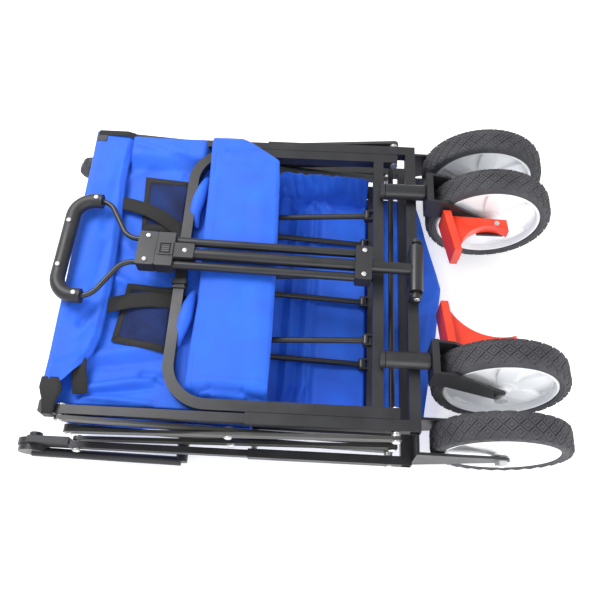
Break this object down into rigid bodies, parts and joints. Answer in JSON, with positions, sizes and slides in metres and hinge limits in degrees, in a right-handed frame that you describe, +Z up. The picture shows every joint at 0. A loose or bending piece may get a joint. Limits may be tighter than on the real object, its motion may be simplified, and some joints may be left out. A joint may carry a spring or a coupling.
{
  "type": "beach cart",
  "caption": "Folding four-wheel beach cart with a blue fabric basket, steel scissor frame, swivel casters, brake pedals and a telescopic pull handle, folded flat.",
  "frame": {"origin": "centre of the footprint of the folded cart lying on its back, on the surface below", "axes": "+X towards the wheels, which is down when the cart stands; +Y across the cart; +Z up from the surface it lies on, which is forwards when the cart stands"},
  "size_m": [0.822, 0.5504, 0.2196],
  "materials": {
    "frame_steel": "satin black powder coat",
    "link_steel": "satin black powder coat, brighter at the edges",
    "fastener": "bright zinc",
    "tyre": "dark grey foam tyre with a diamond tread",
    "rim": "white moulded wheel disc",
    "black_plastic": "black moulded plastic",
    "red_plastic": "orange-red moulded plastic",
    "foam": "black foam",
    "blue_cloth": "royal blue woven polyester"
  },
  "bodies": {
    "rear_frame": {"rear_arch": "frame_steel", "rear_legs": "frame_steel", "rear_cross_tubes": "frame_steel", "rear_frame_rivets": "fastener", "rear_forks": "frame_steel", "rear_axles": "fastener"},
    "inner_rear_scissor": {"inner_rear_links": "link_steel", "inner_rear_rivets": "fastener"},
    "outer_rear_scissor": {"outer_rear_links": "link_steel", "rear_top_rivets": "fastener", "mid_cross_rod": "frame_steel"},
    "outer_front_scissor": {"outer_front_links": "link_steel", "outer_front_rivets": "fastener"},
    "inner_front_scissor": {"inner_front_links": "link_steel", "front_top_rivets": "fastener"},
    "front_frame": {"front_arch": "frame_steel", "front_legs": "frame_steel", "front_cross_tubes": "frame_steel", "front_frame_rivets": "fastener", "front_head_tubes": "frame_steel", "handle_lugs": "frame_steel", "handle_pivot_bolt": "fastener"},
    "rear_posts": {"rear_posts": "frame_steel", "push_handle_sockets": "black_plastic", "basket_rear_panel": "blue_cloth"},
    "front_posts": {"front_posts": "frame_steel", "front_post_caps": "black_plastic", "basket_front_panel": "blue_cloth"},
    "basket": {"basket_sides": "blue_cloth"},
    "rear_floor": {"floor_rods_rear": "frame_steel", "floor_panel_rear": "blue_cloth"},
    "front_floor": {"floor_rods_front": "frame_steel", "floor_panel_front": "blue_cloth"},
    "push_handle": {"push_handle_bar": "frame_steel", "push_handle_grip": "foam"},
    "push_button_near": {"push_button_near": "black_plastic"},
    "push_button_far": {"push_button_far": "black_plastic"},
    "pull_handle": {"pull_handle_tube": "frame_steel", "latch_block": "black_plastic"},
    "handle_extension": {"handle_side_rods": "frame_steel", "handle_slider": "black_plastic", "handle_yoke": "black_plastic", "handle_loop": "frame_steel", "handle_grip": "black_plastic", "handle_screws": "fastener"},
    "latch_button": {"latch_button": "black_plastic"},
    "rear_wheel_near": {"rear_wheel_near_tyre": "tyre", "rear_wheel_near_rim": "rim"},
    "caster_near": {"caster_near_fork": "frame_steel", "caster_near_pins": "fastener"},
    "caster_near_wheel": {"caster_near_tyre": "tyre", "caster_near_rim": "rim"},
    "brake_pedal_near": {"brake_pedal_near": "red_plastic"},
    "rear_wheel_far": {"rear_wheel_far_tyre": "tyre", "rear_wheel_far_rim": "rim"},
    "caster_far": {"caster_far_fork": "frame_steel", "caster_far_pins": "fastener"},
    "caster_far_wheel": {"caster_far_tyre": "tyre", "caster_far_rim": "rim"},
    "brake_pedal_far": {"brake_pedal_far": "red_plastic"}
  },
  "joints": [
    {"name": "fold", "type": "hinge", "parent": "rear_frame", "child": "inner_rear_scissor", "pos_m": [0.155, 0, 0.056], "axis": [0, 1, 0], "range_deg": [0, 41.76]},
    {"name": "rear_crossing", "type": "hinge", "parent": "inner_rear_scissor", "child": "outer_rear_scissor", "pos_m": [-0.07882, 0, 0.0795], "axis": [0, 1, 0], "range_deg": [-83.53, 0]},
    {"name": "top_middle", "type": "hinge", "parent": "inner_rear_scissor", "child": "outer_front_scissor", "pos_m": [-0.31264, 0, 0.103], "axis": [0, 1, 0], "range_deg": [-83.53, 0]},
    {"name": "front_bottom", "type": "hinge", "parent": "outer_front_scissor", "child": "front_frame", "pos_m": [0.155, 0, 0.15], "axis": [0, 1, 0], "range_deg": [0, 41.77]},
    {"name": "front_crossing", "type": "hinge", "parent": "outer_front_scissor", "child": "inner_front_scissor", "pos_m": [-0.07882, 0, 0.1265], "axis": [0, 1, 0], "range_deg": [0, 83.53]},
    {"name": "front_top", "type": "hinge", "parent": "inner_front_scissor", "child": "front_posts", "pos_m": [-0.31264, 0, 0.15], "axis": [0, 1, 0], "range_deg": [-41.77, 0]},
    {"name": "rear_top", "type": "hinge", "parent": "outer_rear_scissor", "child": "rear_posts", "pos_m": [-0.31264, 0, 0.056], "axis": [0, 1, 0], "range_deg": [0, 41.77]},
    {"name": "basket_stretch", "type": "slide", "parent": "rear_posts", "child": "basket", "axis": [0, 0, 1], "range_m": [0, 0.59924], "deforming": ["basket_sides"]},
    {"name": "rear_floor_fold", "type": "hinge", "parent": "rear_frame", "child": "rear_floor", "pos_m": [0.113, 0, 0.066], "axis": [0, 1, 0], "range_deg": [0, 83.7], "deforming": ["floor_panel_rear"]},
    {"name": "front_floor_fold", "type": "hinge", "parent": "front_frame", "child": "front_floor", "pos_m": [0.113, 0, 0.14], "axis": [0, 1, 0], "range_deg": [-83.7, 0], "deforming": ["floor_panel_front"]},
    {"name": "rear_wheel_near_spin", "type": "hinge", "parent": "rear_frame", "child": "rear_wheel_near", "pos_m": [0.311, -0.235, 0.1], "axis": [0, 1, 0], "continuous": true},
    {"name": "caster_near_swivel", "type": "hinge", "parent": "front_frame", "child": "caster_near", "pos_m": [0.311, -0.142, 0.1705], "axis": [1, 0, 0], "range_deg": [-7, 36]},
    {"name": "caster_near_spin", "type": "hinge", "parent": "caster_near", "child": "caster_near_wheel", "pos_m": [0.311, -0.14744, 0.11879], "axis": [0, 0.9945, -0.1045], "continuous": true},
    {"name": "brake_pedal_near_press", "type": "hinge", "parent": "caster_near", "child": "brake_pedal_near", "pos_m": [0.315, -0.10154, 0.14413], "axis": [0, 0.1045, 0.9945], "range_deg": [-12, 0]},
    {"name": "rear_wheel_far_spin", "type": "hinge", "parent": "rear_frame", "child": "rear_wheel_far", "pos_m": [0.311, 0.235, 0.1], "axis": [0, 1, 0], "continuous": true},
    {"name": "caster_far_swivel", "type": "hinge", "parent": "front_frame", "child": "caster_far", "pos_m": [0.311, 0.142, 0.1705], "axis": [1, 0, 0], "range_deg": [-28, 15]},
    {"name": "caster_far_spin", "type": "hinge", "parent": "caster_far", "child": "caster_far_wheel", "pos_m": [0.311, 0.14019, 0.11853], "axis": [0, 0.9994, -0.0349], "continuous": true},
    {"name": "brake_pedal_far_press", "type": "hinge", "parent": "caster_far", "child": "brake_pedal_far", "pos_m": [0.315, 0.09826, 0.15001], "axis": [0, 0.0349, 0.9994], "range_deg": [0, 12]},
    {"name": "handle_pivot", "type": "hinge", "parent": "front_frame", "child": "pull_handle", "pos_m": [0.183, -0.0015, 0.18], "axis": [0.027, 0.9996, 0], "range_deg": [0, 110]},
    {"name": "handle_slide", "type": "slide", "parent": "pull_handle", "child": "handle_extension", "axis": [-0.9996, 0.027, 0], "range_m": [0, 0.235]},
    {"name": "latch_button_press", "type": "slide", "parent": "pull_handle", "child": "latch_button", "axis": [0, 0, -1], "range_m": [0, 0.004], "stiffness_N_per_m": 400},
    {"name": "push_handle_tilt", "type": "hinge", "parent": "rear_posts", "child": "push_handle", "pos_m": [-0.387, 0, 0.032], "axis": [0, 1, 0], "range_deg": [0, 160]},
    {"name": "push_button_near_press", "type": "slide", "parent": "rear_posts", "child": "push_button_near", "axis": [0, -1, 0], "range_m": [0, 0.004], "stiffness_N_per_m": 400},
    {"name": "push_button_far_press", "type": "slide", "parent": "rear_posts", "child": "push_button_far", "axis": [0, 1, 0], "range_m": [0, 0.004], "stiffness_N_per_m": 400}
  ],
  "couplings": [
    {"joint": "rear_crossing", "follows": "fold", "ratio": -2},
    {"joint": "top_middle", "follows": "fold", "ratio": -2},
    {"joint": "front_bottom", "follows": "fold", "ratio": 1},
    {"joint": "front_crossing", "follows": "fold", "ratio": 2},
    {"joint": "front_top", "follows": "fold", "ratio": -1},
    {"joint": "rear_top", "follows": "fold", "ratio": 1},
    {"joint": "basket_stretch", "follows": "fold", "m_per_rad": 0.82188},
    {"joint": "rear_floor_fold", "follows": "fold", "ratio": 2.004},
    {"joint": "front_floor_fold", "follows": "fold", "ratio": -2.004}
  ]
}
